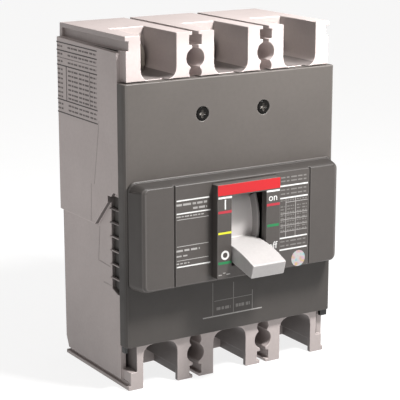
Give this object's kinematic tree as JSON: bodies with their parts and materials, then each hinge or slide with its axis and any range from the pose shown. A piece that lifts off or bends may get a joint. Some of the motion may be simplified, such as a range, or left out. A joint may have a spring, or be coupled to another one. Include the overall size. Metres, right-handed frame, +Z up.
{
  "type": "molded case circuit breaker",
  "caption": "Moulded case circuit breaker with a front toggle handle, open-fronted terminal slots at both ends and a working contact linkage.",
  "frame": {"origin": "centre of the flat back mounting face", "axes": "+X right, +Y back into the mounting plate, +Z up (line side); the front faces -Y"},
  "size_m": [0.105, 0.0883, 0.15],
  "materials": {
    "base_plastic": "moulded, fine grain",
    "cover_plastic": "moulded, fine grain",
    "escutcheon_plastic": "moulded, fine grain",
    "handle_plastic": "satin",
    "black_plastic": "satin",
    "black_steel": "blackened",
    "steel": "zinc plated",
    "copper": "bare copper",
    "tinned_copper": "tin plated copper",
    "silver": "silver alloy",
    "crossbar_plastic": "thermoset",
    "bimetal": "rolled strip",
    "arc_chute_fibre": "fibre board and steel plates"
  },
  "bodies": {
    "housing": {"base_housing": "base_plastic", "front_cover": "cover_plastic", "escutcheon": "escutcheon_plastic", "handle_panel": "escutcheon_plastic", "cover_clip_left": "black_plastic", "cover_clip_right": "black_plastic", "cover_screw_left": "black_steel", "cover_screw_right": "black_steel", "handle_pivot_pin": "steel", "cradle": "steel", "cradle_pin": "steel", "latch_pin": "steel", "mechanism_plate_left": "steel", "mechanism_plate_right": "steel", "line_nut_left": "steel", "load_nut_left": "steel", "magnet_yoke_left": "steel", "line_nut_centre": "steel", "load_nut_centre": "steel", "magnet_yoke_centre": "steel", "line_nut_right": "steel", "load_nut_right": "steel", "magnet_yoke_right": "steel", "braid_left": "copper", "braid_centre": "copper", "braid_right": "copper", "line_terminal_left": "tinned_copper", "load_terminal_left": "tinned_copper", "line_terminal_centre": "tinned_copper", "load_terminal_centre": "tinned_copper", "line_terminal_right": "tinned_copper", "load_terminal_right": "tinned_copper", "fixed_contact_left": "silver", "fixed_contact_centre": "silver", "fixed_contact_right": "silver", "bimetal_left": "bimetal", "bimetal_centre": "bimetal", "bimetal_right": "bimetal", "arc_chute_left": "arc_chute_fibre", "arc_chute_centre": "arc_chute_fibre", "arc_chute_right": "arc_chute_fibre"},
    "toggle": {"toggle_handle": "handle_plastic", "handle_arm": "steel"},
    "main_springs": {"main_spring_left": "steel", "main_spring_right": "steel"},
    "contact_carrier": {"crossbar": "crossbar_plastic", "contact_arm_left": "copper", "moving_contact_left": "silver", "contact_arm_centre": "copper", "moving_contact_centre": "silver", "contact_arm_right": "copper", "moving_contact_right": "silver"},
    "upper_link": {"upper_link": "steel"},
    "lower_link": {"lower_link": "steel"},
    "latch": {"latch": "steel"},
    "trip_bar": {"trip_bar": "black_plastic"},
    "armature_left": {"armature_left": "steel"},
    "armature_centre": {"armature_centre": "steel"},
    "armature_right": {"armature_right": "steel"}
  },
  "joints": [
    {"name": "toggle_swing", "type": "hinge", "parent": "housing", "child": "toggle", "pos_m": [0, -0.04, -0.0076], "axis": [-1, 0, 0], "range_deg": [0, 34]},
    {"name": "contact_carrier_swing", "type": "hinge", "parent": "housing", "child": "contact_carrier", "pos_m": [0, -0.022, -0.008], "axis": [-1, 0, 0], "range_deg": [0, 28.5]},
    {"name": "upper_link_swing", "type": "hinge", "parent": "housing", "child": "upper_link", "pos_m": [0, -0.044, 0.006], "axis": [1, 0, 0], "range_deg": [0, 39.5]},
    {"name": "lower_link_swing", "type": "hinge", "parent": "contact_carrier", "child": "lower_link", "pos_m": [0, -0.02889, -0.00221], "axis": [1, 0, 0], "range_deg": [0, 22.5]},
    {"name": "main_spring_swing", "type": "hinge", "parent": "toggle", "child": "main_springs", "pos_m": [0, -0.0553, -0.01228], "axis": [1, 0, 0], "range_deg": [0, 14.5]},
    {"name": "latch_swing", "type": "hinge", "parent": "housing", "child": "latch", "pos_m": [0, -0.031, -0.035], "axis": [-1, 0, 0], "range_deg": [0, 12], "stiffness_Nm_per_rad": 0.02},
    {"name": "trip_bar_swing", "type": "hinge", "parent": "housing", "child": "trip_bar", "pos_m": [0, -0.046, -0.034], "axis": [1, 0, 0], "range_deg": [0, 10], "stiffness_Nm_per_rad": 0.03},
    {"name": "armature_left_swing", "type": "hinge", "parent": "housing", "child": "armature_left", "pos_m": [-0.035, -0.0271, -0.0465], "axis": [-1, 0, 0], "range_deg": [0, 8], "stiffness_Nm_per_rad": 0.02},
    {"name": "armature_centre_swing", "type": "hinge", "parent": "housing", "child": "armature_centre", "pos_m": [0, -0.0271, -0.0465], "axis": [-1, 0, 0], "range_deg": [0, 8], "stiffness_Nm_per_rad": 0.02},
    {"name": "armature_right_swing", "type": "hinge", "parent": "housing", "child": "armature_right", "pos_m": [0.035, -0.0271, -0.0465], "axis": [-1, 0, 0], "range_deg": [0, 8], "stiffness_Nm_per_rad": 0.02}
  ],
  "couplings": [
    {"joint": "contact_carrier_swing", "follows": "toggle_swing", "ratio": 0.8235},
    {"joint": "upper_link_swing", "follows": "toggle_swing", "ratio": 1.1397},
    {"joint": "lower_link_swing", "follows": "toggle_swing", "ratio": 0.6415},
    {"joint": "main_spring_swing", "follows": "toggle_swing", "ratio": 0.408}
  ]
}
